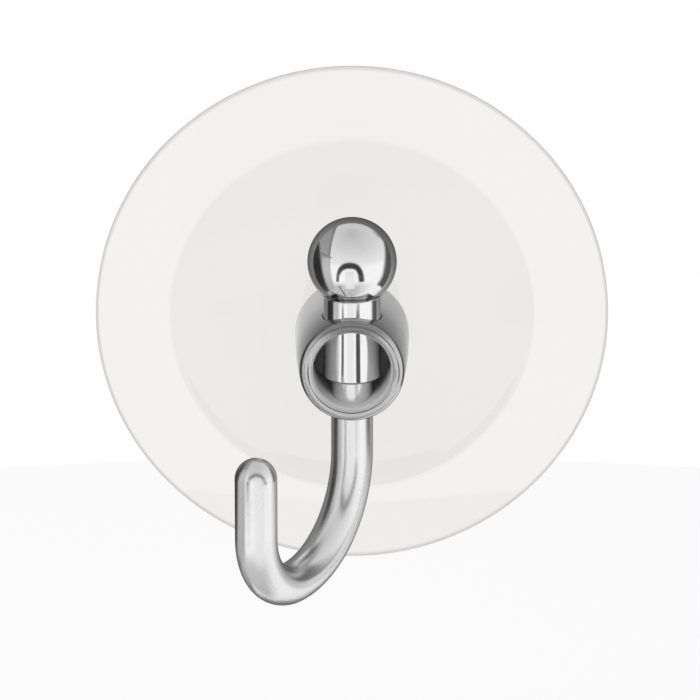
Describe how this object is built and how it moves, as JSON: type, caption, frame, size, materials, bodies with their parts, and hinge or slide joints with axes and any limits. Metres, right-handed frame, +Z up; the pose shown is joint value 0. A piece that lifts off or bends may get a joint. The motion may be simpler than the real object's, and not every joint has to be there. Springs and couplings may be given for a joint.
{
  "type": "suction cup hook",
  "caption": "Clear round suction cup with a chromed tubular collar, a ball-topped upright post and a J hook for hanging light things on smooth walls.",
  "frame": {"origin": "centre of the suction cup's face against the wall", "axes": "+Y into the wall, +Z up, +X to the right of someone facing the wall; the hook stands out along -Y"},
  "size_m": [0.06, 0.0369, 0.06],
  "materials": {
    "clear_vinyl": "clear soft vinyl, smooth",
    "collar_chrome": "bright chrome plate on a turned sleeve",
    "finial_chrome": "bright chrome plate on a turned ball",
    "rod_chrome": "bright chrome plate on a bent bar"
  },
  "bodies": {
    "root": {"suction_cup": "clear_vinyl", "collar": "collar_chrome", "ball_finial": "finial_chrome", "hook_rod": "rod_chrome"}
  },
  "joints": []
}
